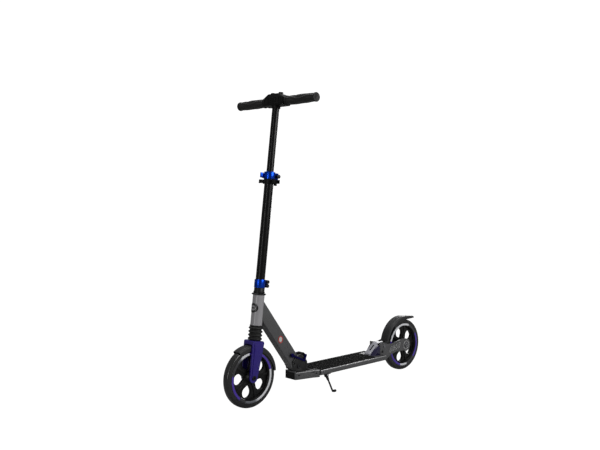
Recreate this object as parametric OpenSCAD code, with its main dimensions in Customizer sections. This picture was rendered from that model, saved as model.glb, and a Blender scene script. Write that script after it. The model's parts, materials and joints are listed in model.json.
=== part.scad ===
// Folding two-wheeled kick scooter. Millimetres, +Z up, -X forward, +Y the rider's right.
// The origin is on the ground, midway between the axles.

/* [Wheels] */
// Radius of each wheel over its tyre
wheel_r = 102.5; // [85:0.5:125]
// Distance between the two axles
wheelbase = 792.8; // [660:0.2:960]
// Width of each tyre
tyre_w = 30; // [24:1:38]
// Depth of the tyre, from its tread to the hub's rim
tyre_t = 19.5; // [14:0.5:24]
// Width of the coloured band on each side of the rim
band_w = 8; // [4:1:9]
// Number of teardrop openings in each hub
hub_openings = 5; // [3:1:6]
// Radius of both axle bolts
axle_r = 4; // [3:0.5:5]
// Outer radius of a wheel bearing
bearing_r = 11; // [9:0.5:13]
// Width of a wheel bearing
bearing_w = 7; // [5:1:9]

/* [Fork and steering] */
// How far the steering axis leans back from upright, in degrees
lean = 6.8; // [4:0.1:9]
// How far the front axle sits ahead of the steering axis
fork_offset = 9; // [5:0.5:14]
// Thickness of the fork crown
crown_h = 12; // [10:1:24]
// Gap between the tyre's side and a fork leg
fork_clear = 4; // [3.5:0.5:8]
// Thickness of a fork leg without its raised ridge
leg_t = 5.5; // [4:0.5:7]
// Height of the ridge on a fork leg
ridge_t = 2.5; // [1:0.5:4]
// Length of the rubber bellows
bellows_l = 47.7; // [36:0.1:60]
// Suspension travel
travel = 12; // [6:1:14]
// Length of the head tube
head_l = 102; // [90:1:125]
// Wall of the head tube
head_wall = 3; // [2:0.5:4]
// Radial thickness of a headset bearing
headset_t = 1.65; // [1.5:0.05:4]

/* [Stem and handlebar] */
// Outer radius of the lower stem tube
stem_r = 15.9; // [15:0.1:20]
// Wall of the lower stem tube
stem_wall = 1.5; // [1:0.1:1.6]
// Length of the lower stem tube
stem_l = 396; // [330:1:480]
// Outer radius of the upper, telescoping tube
upper_r = 12.7; // [11.5:0.1:13]
// Height of the handlebar's axis over the top of the lower stem tube
bar_rise = 246; // [235:1:300]
// Length of the telescoping tube inside the lower one
insertion = 137; // [100:1:170]
// Half of the handlebar's overall width
bar_half = 202; // [180:0.5:240]
// Radius of the handlebar tube
bar_r = 11.1; // [10:0.1:12]
// Radius of a grip at its middle
grip_r = 15.5; // [14:0.1:17]
// Half of the distance between the grips' inner flanges
grip_inner = 57; // [57:1:70]

/* [Deck] */
// Height of the deck's top edge over the ground
deck_z = 88.5; // [85:0.5:100]
// Width of the deck
deck_w = 120; // [108:1:150]
// Depth of the deck's sides
deck_side = 18.5; // [15:0.5:20]
// Depth of the deck's central keel
keel_h = 26.5; // [24:0.5:30]
// Distance from the deck's rear end back to the rear axle
deck_back = 160.4; // [155:0.2:175]
// Thickness of the grip mat without its ridges
mat_t = 2.3; // [1.5:0.1:3]
// Distance between the ridges of the grip mat
ridge_pitch = 10.5; // [8:0.5:14]
// Height of the ridges over the mat
ridge_h = 2.4; // [1:0.1:3]

/* [Fold] */
// Distance from the front axle back to the fold pivot
fold_back = 206.4; // [200:0.2:215]
// Distance from the fold pivot back to the deck
nose_l = 72; // [70:1:80]
// Fold pivot, height over the ground
fold_z = 108; // [106:0.5:116]
// Depth of the neck extrusion
neck_d = 46.5; // [42:0.5:50]
// Width of the neck extrusion
neck_w = 33; // [28:0.5:40]
// Radius of the fold plates about the fold pivot
plate_r = 42; // [40:0.5:43]
// Thickness of a fold plate
plate_t = 4; // [3:0.5:4.5]
// Distance from the fold pivot to the release lever's pin
lever_up = 55; // [52:0.5:60]

/* [Rear end] */
// Gap between the tyre's side and a rear arm
arm_clear = 7; // [6.5:0.1:10]
// Thickness of a rear arm
arm_t = 6; // [4:0.5:8]
// Distance from the brake's pivot back to the rear axle
brake_back = 135.4; // [134:0.2:138]
// Height of the brake's pivot over the rear axle
brake_up = 14.5; // [13.5:0.5:15.5]

/* [Kickstand] */
// Distance from the deck's front end back to the kickstand's pivot
kick_back = 40; // [24:1:170]
// Length of the kickstand's leg
kick_l = 59.5; // [57:0.1:59.6]
// Radius of the kickstand's rod
kick_r = 3.2; // [2.5:0.1:4]

/* [Hidden] */
$fn = 64;

run = 0.05;      // radial clearance of a running fit
gap = 0.3;       // gap between pieces that pass each other
front_x = -wheelbase / 2;
rear_x = wheelbase / 2;
fold_x = front_x + fold_back;
deck_x0 = fold_x + nose_l;
deck_x1 = rear_x - deck_back;
brake_x = rear_x - brake_back;
brake_z = wheel_r + brake_up;
rim_r = wheel_r - tyre_t;
wheel_y = tyre_w / 2;
fork_inner = wheel_y + fork_clear;
arm_inner = wheel_y + arm_clear;
arm_outer = arm_inner + arm_t;
anthracite = [0.27, 0.27, 0.28];
purple = [0.24, 0.16, 0.62];
blue = [0.13, 0.22, 0.75];
black = [0.09, 0.09, 0.1];
silver = [0.72, 0.72, 0.74];

// Steering frame: its origin is the point of the steering axis nearest to the front axle
steer_x = front_x + fork_offset * cos(lean);
steer_z = wheel_r - fork_offset * sin(lean);
// Heights along the steering axis
fender_gap = 2.4;                                   // from tyre to fender skin
skin_t = 2.5;                                       // fender skin
crown_h0 = wheel_r + fender_gap + skin_t + 2.6;     // underside of the crown
crown_h1 = crown_h0 + crown_h;
cup_h0 = crown_h1 + bellows_l + gap;                // underside of the lower headset cup
head_h0 = cup_h0 + 3;
head_h1 = head_h0 + head_l;
cup_h1 = head_h1 + 6;
nut_h1 = cup_h1 + gap + 18;
stem_h0 = nut_h1 + 0.5;
stem_h1 = stem_h0 + stem_l;
bar_h = stem_h1 + bar_rise;
lower_clamp_h = 27.5;
upper_clamp_h = 25;
clip_h = 15;
wall_r = stem_r - stem_wall;                        // inside of the lower stem tube
steerer_r = wall_r - 0.1;                           // slides into the lower stem tube
bearing_in = steerer_r + run;
cup_t = 1;                                          // sleeve of a headset cup
head_r = bearing_in + headset_t + cup_t + head_wall;
steerer_wall = 3;
stanchion_r = steerer_r - steerer_wall - run;
stanchion_h1 = crown_h1 + 108;
spring_stop = stanchion_h1 + 38;
clamp_r = stem_r + 4.1;
ear_x = stem_r + 9.6;                               // centre of the upper clamp's bolt

// Frame of the neck: from the fold pivot up to the steering axis
neck_join = 62;                                     // joint with the axis, over the head tube's end
join_x = steer_x + (head_h0 + neck_join) * sin(lean);
join_z = steer_z + (head_h0 + neck_join) * cos(lean);
neck_l = norm([join_x - fold_x, join_z - fold_z]);
neck_tilt = atan2(join_x - fold_x, join_z - fold_z);
neck_cut = 26;                                      // lower end of the neck tube, over the pivot
neck_wall = 2.5;

deck_floor = deck_z - keel_h;                       // underside of the keel
deck_top = deck_z - 3.5;                            // plate under the grip mat
side_z = deck_z - deck_side;
nose_x0 = fold_x - 22;
plate_y0 = neck_w / 2 + 0.5;
plate_y1 = plate_y0 + plate_t;
lever_y0 = plate_y1 + 1.2;
lever_y1 = lever_y0 + 4;
bay_y = lever_y1 + 1.4;                             // half width of the open fold bay
mat_x1 = deck_x1 - 46;
band_t = 1;

function arc(x, z, r, a0, a1, n) = [for (i = [0:n]) let (a = a0 + (a1 - a0) * i / n)
    [x + r * cos(a), z + r * sin(a)]];
function rounded(w, d, r, n = 6) = [for (c = [[1, 1, 0], [-1, 1, 90], [-1, -1, 180], [1, -1, 270]])
    each arc(c[0] * (w / 2 - r), c[1] * (d / 2 - r), r, c[2], c[2] + 90, n)];

// Extrudes an outline drawn in X and Z from y0 to y1
module side(y0, y1) {
    translate([0, y1, 0]) rotate([90, 0, 0]) linear_extrude(y1 - y0) children();
}
// A cylinder along Y
module rod_y(r, y0, y1, x = 0, z = 0) {
    translate([x, y0, z]) rotate([-90, 0, 0]) cylinder(r = r, h = y1 - y0);
}
module ring_y(r1, r0, y0, y1, x = 0, z = 0) {
    difference() {
        rod_y(r1, y0, y1, x, z);
        rod_y(r0, y0 - 1, y1 + 1, x, z);
    }
}
module tube(r1, r0, h0, h1) {
    translate([0, 0, h0]) difference() {
        cylinder(r = r1, h = h1 - h0);
        translate([0, 0, -1]) cylinder(r = r0, h = h1 - h0 + 2);
    }
}
module both() {
    children();
    mirror([0, 1, 0]) children();
}
module steering() { translate([steer_x, 0, steer_z]) rotate([0, lean, 0]) children(); }
module neck_frame() { translate([fold_x, 0, fold_z]) rotate([0, neck_tilt, 0]) children(); }
module at_front() { translate([front_x, 0, wheel_r]) children(); }
module at_rear() { translate([rear_x, 0, wheel_r]) children(); }

// A coil spring along Z from 0 to h, as one tube swept along its helix
module coil(r, wire, h, turns, steps = 16, sides = 8) {
    n = turns * steps;
    pts = [for (i = [0:n], j = [0:sides - 1]) let (a = 360 * i / steps, b = 360 * j / sides)
        [(r + wire * cos(b)) * cos(a), (r + wire * cos(b)) * sin(a),
         wire + (h - 2 * wire) * i / n + wire * sin(b)]];
    walls = [for (i = [0:n - 1], j = [0:sides - 1]) let (k = (j + 1) % sides)
        each [[i * sides + j, i * sides + k, (i + 1) * sides + k],
              [i * sides + j, (i + 1) * sides + k, (i + 1) * sides + j]]];
    caps = [for (j = [1:sides - 2]) each [[0, j + 1, j],
        [n * sides, n * sides + j, n * sides + j + 1]]];
    polyhedron(points = pts, faces = [for (f = concat(walls, caps)) [f[0], f[2], f[1]]]);
}

// ---- Deck ----

module deck_section() {
    w = deck_w / 2;
    keel = 30;
    half = [[keel, deck_floor], [keel + 4, side_z], [w - 3, side_z], [w, side_z + 3], [w, deck_z],
        [w - 3.5, deck_z], [w - 3.5, deck_top]];
    difference() {
        polygon(concat(half, [for (i = [len(half) - 1:-1:0]) [-half[i][0], half[i][1]]]));
        for (s = [-1, 1]) {
            polygon([[s * 3, deck_floor + 3], [s * (keel - 3), deck_floor + 3],
                [s * (keel - 1), deck_top - 3], [s * 3, deck_top - 3]]);
            polygon([[s * (keel + 5), side_z + 3], [s * (w - 4), side_z + 3],
                [s * (w - 3), side_z + 5], [s * (w - 3), deck_top - 3], [s * (keel + 5), deck_top - 3]]);
        }
    }
}

module deck_extrusion() {
    color(anthracite) translate([deck_x0, 0, 0]) rotate([90, 0, 90])
        linear_extrude(deck_x1 - deck_x0) deck_section();
}

module grip_mat() {
    x0 = deck_x0 + 3;
    w = deck_w - 8;
    ribs = floor((mat_x1 - x0 - 4) / ridge_pitch);
    color(black) union() {
        translate([x0, -w / 2, deck_top]) cube([mat_x1 - x0, w, mat_t]);
        for (i = [0:ribs]) translate([x0 + 2 + i * ridge_pitch, -w / 2, deck_top + mat_t - 0.5])
            cube([ridge_pitch * 0.45, w, ridge_h + 0.5]);
    }
}

// Cast nose that carries the fold plates. Its bay is open, so that the lever swings down into it.
bay_floor = deck_floor + 6;
screw_z = deck_z - 9.5;
screw_x = [fold_x - 8, fold_x + 59];
module nose_base() {
    z1 = deck_z + 1.5;
    front_wall = nose_x0 + 8;
    slot_x = fold_x + 10;
    plan = [[nose_x0, bay_y - 2.6], [nose_x0 + 3, bay_y + 0.4], [fold_x - 6, bay_y + 4.4],
        [fold_x + 50, bay_y + 18.4], [deck_x0 - 8, deck_w / 2 - 7], [deck_x0, deck_w / 2 - 6]];
    color(anthracite) difference() {
        union() {
            translate([0, 0, deck_floor + 2]) linear_extrude(z1 - deck_floor - 2)
                polygon(concat(plan, [for (i = [len(plan) - 1:-1:0]) [plan[i][0], -plan[i][1]]]));
            translate([nose_x0, 2.6 - bay_y, z1 - 1]) cube([6, 2 * (bay_y - 2.6), 4]);
        }
        translate([front_wall, -bay_y, bay_floor]) cube([deck_x0 - nose_x0, 2 * bay_y, 60]);
        translate([slot_x, -14, 0]) cube([deck_x0 - 5 - slot_x, 28, 90]);
        nose_screws();
        both() translate([fold_x + 40, bay_y + 9.4, z1 - 9]) cube([26, 10, 20]);
    }
}
module nose_screws() {
    both() for (x = screw_x) rod_y(2.5, plate_y0, deck_w / 2, x, screw_z);
}

// The plates stand on the bay's floor. Their rear foot leaves the lever's rod its way down.
module fold_plates() {
    foot_x = deck_x0 - 4;
    low_z = fold_z - 31.5;
    outline = concat([[nose_x0 + 9, bay_floor], [foot_x, bay_floor], [foot_x, screw_z + 4.6]],
        arc(screw_x[1], screw_z, 4.6, 90, 180, 6), [[screw_x[1] - 7, low_z], [fold_x + 31, low_z]],
        arc(fold_x, fold_z, plate_r, -48, 100, 30),
        [[fold_x - 29, fold_z + 20], [fold_x - 23, fold_z - 10], [nose_x0 + 9, fold_z - 14]]);
    color(silver) difference() {
        both() side(plate_y0, plate_y1) polygon(outline);
        rod_y(5, -50, 50, fold_x, fold_z);
        nose_screws();
        for (a = [31, 4]) rod_y(4, -50, 50, fold_x + plate_r * cos(a), fold_z + plate_r * sin(a));
        rod_y(4, -50, 50, fold_x - 23, fold_z + 13);
    }
}

module fold_pivot_bolt() {
    color(silver) union() {
        rod_y(5, -plate_y1, plate_y1, fold_x, fold_z);
        both() rod_y(7.5, plate_y1, plate_y1 + 3, fold_x, fold_z);
    }
}

arm_screw_x = brake_x - 11;
arm_screw_z = [deck_floor + 12, deck_floor + 34];
module deck_screws() {
    heads = [bay_y + 4.8, bay_y + 21.8];
    color(black) {
        both() for (i = [0, 1])
            difference() {
                rod_y(2.5, plate_y0, heads[i], screw_x[i], screw_z);
                rod_y(1.4, heads[i] - 2, heads[i] + 1, screw_x[i], screw_z);
            }
        both() for (z = arm_screw_z)
            union() {
                rod_y(2.5, 8, arm_outer, arm_screw_x, z);
                rod_y(4.5, arm_outer, arm_outer + 2.2, arm_screw_x, z);
            }
    }
}

// ---- Kickstand ----

kick_x = deck_x0 + kick_back;
kick_y = 13 - deck_w / 2;
kick_z = side_z - 9;
kick_splay = 18;    // outward lean of the swing plane
kick_rake = 13;     // rearward rake of the leg in that plane
module kick_frame() { translate([kick_x, kick_y, kick_z]) rotate([-kick_splay, 0, 0]) children(); }

module kickstand_bracket() {
    color(black) difference() {
        union() {
            translate([kick_x - 14, kick_y - 8, side_z - 3]) cube([28, 17, 3]);
            kick_frame() for (y = [-6.2, 3.2]) side(y, y + 3)
                polygon(concat([[-8, 8.5 + y * 0.2]], arc(0, 0, 5.4, 180, 360, 16), [[8, 8.5 + y * 0.2]]));
        }
        kick_frame() rod_y(2.5, -30, 30);
    }
}
module kickstand_bolt() {
    color(silver) kick_frame() union() {
        rod_y(2.5, -6.2, 6.2);
        rod_y(3.8, -8.4, -6.2);
        rod_y(3.6, 6.2, 8.4);
    }
}
module kickstand_leg() {
    color(black) kick_frame() rotate([0, -kick_rake, 0]) difference() {
        union() {
            side(-2.9, 2.9) polygon(concat(arc(0, 0, 5.2, 0, 180, 16), [[-3.4, -17], [3.4, -17]]));
            translate([0, 0, -kick_l]) cylinder(r = kick_r, h = kick_l - 8);
            translate([0, 0, -kick_l]) rotate([90, 0, 0]) cylinder(r = kick_r, h = 13);
            translate([0, 0, -kick_l]) sphere(r = kick_r);
        }
        rod_y(2.5 + run, -10, 10);
    }
}
module kickstand_foot() {
    color(black) kick_frame() rotate([0, -kick_rake, 0]) translate([0, 0, -kick_l])
        rotate([90, 0, 0]) difference() {
            union() {
                translate([0, 0, 4.5]) cylinder(r = kick_r + 1.4, h = 11.5);
                translate([0, 0, 16]) cylinder(r = kick_r, h = 1.4);
            }
            translate([0, 0, 4]) cylinder(r = kick_r, h = 9);
        }
}

// ---- Rear end ----

module rear_arms() {
    end_r = 25;
    x0 = deck_x1 + 2;
    outline = concat([[x0, deck_floor], [rear_x - 124, deck_floor - 2], [rear_x - 94, deck_floor + 16],
        [rear_x - 57, wheel_r - 18.5]], arc(rear_x, wheel_r, end_r, 235, 445, 30),
        [[rear_x - 19, wheel_r + 28.5], [brake_x + 47, brake_z + 2], [brake_x + 29, brake_z + 4],
         [x0, brake_z + 16]]);
    color(anthracite) difference() {
        both() side(arm_inner, arm_outer) polygon(outline);
        both() side(arm_outer - 1.5, arm_outer + 1) {
            for (i = [0:3]) polygon([for (p = rounded(7, 22, 3))
                [rear_x - 94 + 17 * i + p[0] + p[1] * 0.45, wheel_r - 4.5 + 3 * i + p[1]]]);
        }
        rod_y(axle_r, -60, 60, rear_x, wheel_r);
        rod_y(4, -60, 60, brake_x, brake_z);
        for (z = arm_screw_z) rod_y(2.5, -60, 60, arm_screw_x, z);
    }
}

// Casting between the arms that closes the deck and takes the arm screws
module rear_bridge() {
    w = deck_w / 2;
    color(anthracite) difference() {
        union() {
            translate([deck_x1, -arm_inner, deck_floor]) cube([30, 2 * arm_inner, brake_z - 13 - deck_floor]);
            translate([deck_x1, 0, 0]) rotate([90, 0, 90]) linear_extrude(2)
                polygon([[2 - w, side_z], [w - 2, side_z], [w, side_z + 3], [w, deck_z], [-w, deck_z],
                    [-w, side_z + 3]]);
        }
        for (z = arm_screw_z) both() rod_y(2.5, 8, 60, arm_screw_x, z);
    }
}

module axle(half, head_r) {
    union() {
        rod_y(axle_r, -half, half);
        both() rod_y(head_r, half, half + 4);
    }
}
module rear_axle() { color(silver) at_rear() axle(arm_outer, 8); }
module rear_axle_spacers() {
    color(silver) at_rear() both() ring_y(6.5, axle_r, wheel_y + 0.2, arm_inner);
}

wedge_top = brake_z + 14;
wedge_x0 = mat_x1 + 1;
wedge_x1 = deck_x1 + 6;
wedge_rise = (wedge_top - deck_top - 8) / (wedge_x1 - wedge_x0);
function wedge_z(x) = wedge_top + wedge_rise * (x - wedge_x1);     // height of the silver slope
module wedge_cover() {
    x0 = wedge_x0;
    z0 = deck_top;
    post_x = deck_x1 - 4;
    color(silver) difference() {
        union() {
            side(-14, 14) polygon([[x0, z0], [x0, z0 + 8], [wedge_x1, wedge_top], [brake_x + 1, wedge_top],
                [brake_x + 1, wedge_top - 3], [wedge_x1 + 1, wedge_top - 3], [x0 + 5, z0 + 6], [x0 + 5, z0]]);
            side(-14, 14) polygon([[post_x - 3, z0], [post_x, z0], [post_x, wedge_z(post_x) - 1.5],
                [post_x - 3, wedge_z(post_x - 3) - 1.5]]);
        }
        translate([(x0 + wedge_x1) / 2 + 2, 0, (z0 + 8 + wedge_top) / 2]) rotate([0, -atan(wedge_rise), 0])
            cube([30, 9, 14], center = true);
    }
}
// Side facets of the wedge, from the silver top down to the deck
module wedge_panels() {
    x0 = wedge_x0 + 3;
    z0 = deck_top;
    x1 = deck_x1 - 1;
    color(purple) both() hull() {
        side(14, 14.5) polygon([[x0, z0], [x0, z0 + 5], [x1, wedge_z(x1) - 2],
            [deck_x1, wedge_z(x1) - 2], [deck_x1, z0]]);
        side(14, 27.5) polygon([[x0 + 14, z0], [x0 + 15, z0 + 1], [x1, wedge_z(x1) - 9],
            [deck_x1, wedge_z(x1) - 9], [deck_x1, z0]]);
    }
}

module brake_pivot_bolt() {
    color(silver) translate([brake_x, 0, brake_z]) union() {
        rod_y(4, -arm_outer, arm_outer);
        both() rod_y(6.5, arm_outer, arm_outer + 3);
    }
}
module brake_spring() {
    color(silver) translate([brake_x, 8, brake_z]) rotate([90, 0, 0]) coil(5.6, 1.1, 16, 6);
}

// The brake's skin runs on an arc a little off the wheel's centre, then straight back as a tail
skin_x = rear_x + 3;
skin_z = wheel_r + 5;
skin_r = wheel_r + 7.5;
skirt_y = arm_inner - 0.7;
module rear_fender() {
    pivot = [brake_x, brake_z];
    tail = [rear_x + 62, wheel_r + 110];
    skirt = concat(arc(pivot[0], pivot[1], 9, 100, 270, 12),
        arc(rear_x, wheel_r, wheel_r - 10.5, 166, 62, 30), [[rear_x + 52, wheel_r + 104]],
        arc(skin_x, skin_z, skin_r, 85, 170, 30));
    color(black) difference() {
        union() {
            side(-skirt_y, skirt_y) polygon(concat(arc(skin_x, skin_z, skin_r, 170, 85, 30), [tail,
                [tail[0] - 1, tail[1] - 5]], arc(skin_x, skin_z, skin_r - 3, 85, 170, 30)));
            both() side(skirt_y - 2.3, skirt_y) polygon(skirt);
        }
        rod_y(4 + run, -60, 60, brake_x, brake_z);
    }
}
module brake_pad() {
    color(silver) side(-12, 12) polygon(concat(arc(rear_x, wheel_r, wheel_r + 5.5, 74, 104, 10),
        arc(skin_x, skin_z, skin_r - 3.1, 104, 84, 8)));
}

// ---- Neck and head tube ----

module neck_tube() {
    color(anthracite) difference() {
        neck_frame() difference() {
            translate([0, 0, neck_cut]) linear_extrude(neck_l) difference() {
                polygon(rounded(neck_d, neck_w, 4));
                polygon(rounded(neck_d - 2 * neck_wall, neck_w - 2 * neck_wall, 1.5));
            }
            rod_y(4, -30, 30, 0, lever_up);
        }
        steering() cylinder(r = head_r, h = 600);
        steering() translate([-200, -50, 0]) cube([200, 100, 700]);
    }
}
module neck_foot() {
    inner = [neck_d - 2 * neck_wall, neck_w - 2 * neck_wall];
    color(anthracite) neck_frame() difference() {
        union() {
            side(-neck_w / 2, neck_w / 2) polygon(concat(arc(0, 0, 21, 180, 360, 24),
                [[neck_d / 2, neck_cut - 8], [neck_d / 2, neck_cut], [-neck_d / 2, neck_cut],
                 [-neck_d / 2, neck_cut - 8]]));
            translate([0, 0, neck_cut]) linear_extrude(42) polygon(rounded(inner[0], inner[1], 1.5));
        }
        rod_y(5 + run, -30, 30);
        rod_y(4, -30, 30, 0, lever_up);
    }
}
module head_tube() { color([0.6, 0.6, 0.61]) steering() tube(head_r, head_r - head_wall, head_h0, head_h1); }

module headset_cups() {
    r0 = head_r - head_wall;
    color(black) steering() {
        union() {
            tube(head_r + 2, steerer_r + 0.6, cup_h0, head_h0);
            tube(r0, r0 - cup_t, head_h0, head_h0 + 12);
        }
        union() {
            tube(r0, r0 - cup_t, head_h1 - 12, head_h1);
            translate([0, 0, head_h1]) rotate_extrude() polygon([[steerer_r + 0.6, 0],
                [head_r + 1, 0], [head_r + 5, 2], [head_r + 5, 4], [head_r + 2, 6], [steerer_r + 0.6, 6]]);
        }
    }
}
module headset_bearings() {
    color(silver) steering() {
        for (h = [head_h0 + 1, head_h1 - 8])
            tube(bearing_in + headset_t, bearing_in, h, h + 7);
    }
}
// Plain badges: a ring badge on each side of the neck, and a bar badge on the head tube
module badges() {
    color(silver) {
        both() side(neck_w / 2, neck_w / 2 + 0.4) translate([fold_x, fold_z])
            rotate(90 - neck_tilt) translate([neck_l * 0.47, 2]) circle(r = 9);
        steering() difference() {
            translate([-head_r - 0.6, -9, head_h0 + 36]) cube([12, 18, 32]);
            translate([0, 0, head_h0]) cylinder(r = head_r, h = 90);
        }
    }
}

// ---- Release lever ----

lever_x = fold_x + lever_up * sin(neck_tilt);
lever_z = fold_z + lever_up * cos(neck_tilt);
catch_x = fold_x + 24;
catch_z = fold_z + 18;
rod_x = fold_x + 31;
rod_z = fold_z + 36;
module release_lever() {
    a = atan2(catch_z - lever_z, catch_x - lever_x);
    arm = concat(arc(lever_x, lever_z, 7.5, a + 80, a + 280, 20), arc(catch_x, catch_z, 5, a - 80, a + 80, 12));
    color(blue) difference() {
        union() {
            both() side(lever_y0, lever_y1) {
                polygon(arm);
                polygon([[catch_x - 3, catch_z], [catch_x + 4, catch_z + 1], [rod_x + 4.4, rod_z - 1],
                    [rod_x + 2, rod_z + 4], [rod_x - 2, rod_z + 4], [rod_x - 4.4, rod_z]]);
            }
            rod_y(3, -lever_y1, lever_y1, rod_x, rod_z);
        }
        rod_y(4, -60, 60, lever_x, lever_z);
    }
}
module lever_pin() {
    color(blue) translate([lever_x, 0, lever_z]) union() {
        rod_y(4 - run, -lever_y1, lever_y1);
        both() rod_y(6.5, lever_y1, lever_y1 + 1.5);
    }
}
module step_pad() {
    top = [[-16, -1], [-12, 6], [-5, 9], [3, 7], [9, 1]];
    color(black) difference() {
        translate([rod_x, 0, rod_z]) side(-11.5, 11.5)
            polygon(concat(top, [[10, -6], [6, -7], [-1, -4.5], [-9, -2.5]]));
        rod_y(3, -60, 60, rod_x, rod_z);
    }
}

// ---- Wheels, drawn about their own centre ----

function teardrop(tip, mid, r, n = 20) = let (a = acos(r / (mid - tip)))
    concat([[tip, 0]], arc(mid, 0, r, -180 + a, 180 - a, n));

module tyre() {
    r = wheel_r;
    half = [[rim_r, wheel_y], [rim_r + 5, wheel_y], [r - 8, wheel_y - 0.6], [r - 4.5, wheel_y - 2.2],
        [r - 1.7, wheel_y - 6], [r - 0.3, wheel_y - 10.5], [r, 2]];
    rotate([90, 0, 0]) rotate_extrude($fn = 120)
        polygon(concat(half, [for (i = [len(half) - 1:-1:0]) [half[i][0], -half[i][1]]]));
}
module hub(turn) {
    web = 4.5;
    rim_in = rim_r - 10;
    core_r = bearing_r + 4.5;
    tip = 1.5 * core_r;
    hole_r = 0.4 * (rim_in - 3 - tip);
    difference() {
        union() {
            ring_y(rim_r, rim_in, -wheel_y, wheel_y);
            rod_y(rim_in + 1, -web, web);
            rod_y(core_r, -wheel_y, wheel_y);
        }
        for (i = [1:hub_openings]) rotate([0, -turn - 360 * i / hub_openings, 0])
            side(-20, 20) polygon(teardrop(tip, rim_in - 3 - hole_r, hole_r));
        rod_y(bearing_r - 2, -30, 30);
        both() rod_y(bearing_r, wheel_y - bearing_w, wheel_y + 1);
    }
}
module rim_bands() { both() ring_y(rim_r + 2, rim_r + 2 - band_w, wheel_y, wheel_y + band_t); }
module bearings() { both() ring_y(bearing_r, axle_r + run, wheel_y - bearing_w, wheel_y); }

module rear_tyre() { color(black) at_rear() tyre(); }
module rear_hub() { color(black) at_rear() hub(39); }
module rear_rim_bands() { color(purple) at_rear() rim_bands(); }
module rear_bearings() { color(silver) at_rear() bearings(); }
module front_tyre() { color(black) at_front() tyre(); }
module front_hub() { color(black) at_front() hub(36); }
module front_rim_bands() { color(purple) at_front() rim_bands(); }
module front_bearings() { color(silver) at_front() bearings(); }

// ---- Fork ----

leg_y = fork_inner + leg_t;
fender_y = fork_inner - 0.6;
module fork() {
    ax = -fork_offset;
    shoulder = concat(arc(14, crown_h1 - 9, 9, 0, 90, 6), arc(-22, crown_h1 - 4, 4, 90, 180, 4));
    leg = concat(arc(ax, 0, 16, 175, 355, 20), shoulder, [[-26, crown_h0 - 12]]);
    ridge = concat(arc(ax, 3, 9, 175, 355, 12), [[14, crown_h0 - 14], [14, crown_h1], [-19, crown_h1],
        [-17, crown_h0 - 14]]);
    color(purple) steering() difference() {
        union() {
            both() side(fork_inner, leg_y) polygon(leg);
            both() side(leg_y, leg_y + ridge_t) polygon(ridge);
            intersection() {
                translate([-1.5, 0, crown_h0]) linear_extrude(crown_h)
                    polygon(rounded(49, 2 * leg_y + 3, 8));
                side(-leg_y - 3, leg_y + 3) polygon(concat(shoulder, [[-26, crown_h0], [23, crown_h0]]));
            }
            translate([0, 0, crown_h0]) cylinder(r = stanchion_r, h = stanchion_h1 - crown_h0);
        }
        side(-fork_inner, fork_inner) polygon(concat([[-60, 0], [60, 0]],
            [[60, crown_h0], [-60, crown_h0]]));
        rod_y(axle_r, -60, 60, ax, 0);
        rod_y(8.2, -60, -leg_y, ax, 0);
        rod_y(8.2, leg_y, 60, ax, 0);
    }
}
module front_fender() {
    ax = -fork_offset;
    r0 = wheel_r + fender_gap;
    r1 = r0 + skin_t;
    a0 = 5 + lean;
    a1 = 121 + lean;
    color(black) steering() union() {
        side(-fender_y, fender_y)
            polygon(concat(arc(ax, 0, r1, a0, a1, 40), arc(ax, 0, r0, a1, a0, 40)));
        both() side(fender_y - 1.8, fender_y)
            polygon(concat(arc(ax, 0, r1, a0, a1, 40), arc(ax, 0, wheel_r - 14.5, a1, a0 + 8, 40)));
        translate([0, 0, r1 - 2]) cylinder(r = 7, h = crown_h0 - r1 + 2);
    }
}
module front_axle() { color(black) steering() translate([-fork_offset, 0, 0]) axle(leg_y, 7.5); }
module front_axle_spacers() {
    color(silver) steering() translate([-fork_offset, 0, 0])
        both() ring_y(6.5, axle_r, wheel_y + 0.2, fork_inner);
}

// ---- Steerer and stem ----

module steerer_tube() {
    color(silver) steering() union() {
        tube(steerer_r, steerer_r - steerer_wall, crown_h1 + travel + 4, stem_h0 + lower_clamp_h);
        translate([0, 0, spring_stop]) cylinder(r = steerer_r - 1, h = 6);
    }
}
module suspension_spring() {
    color(silver) steering() translate([0, 0, stanchion_h1]) coil(8, 1.5, spring_stop - stanchion_h1, 6);
}
module bellows() {
    ribs = 4;
    p = bellows_l / ribs;
    neck = steerer_r + 2.7;
    valley = neck + 3.5;
    peak = neck + 7.3;
    wall = 1.5;
    outer = [for (i = [0:ribs - 1]) each [[valley, i * p], [valley, i * p + 1.5], [peak, i * p + p * 0.4],
        [peak, i * p + p * 0.65], [valley, i * p + p - 1.2]]];
    inner = [for (i = [ribs - 1:-1:0]) each [[valley - wall, i * p + p - 1], [peak - wall, i * p + p * 0.6],
        [peak - wall, i * p + p * 0.45], [valley - wall, i * p + 1]]];
    color(black) steering() translate([0, 0, crown_h1]) rotate_extrude()
        polygon(concat(outer, [[valley, bellows_l], [neck, bellows_l]], [[neck, bellows_l - 1]], inner,
            [[neck, 1], [neck, 0]]));
}
module headset_nut() {
    color(black) steering() union() {
        tube(steerer_r + 3.7, steerer_r, cup_h1 + gap, nut_h1);
        tube(steerer_r + 5.2, steerer_r, cup_h1 + gap, cup_h1 + gap + 6);
    }
}
module lower_stem_tube() { color(black) steering() tube(stem_r, wall_r, stem_h0, stem_h1); }
module telescope_bush() {
    color([0.2, 0.2, 0.2]) steering() tube(wall_r, upper_r + run, stem_h1 - 56, stem_h1);
}

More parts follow.
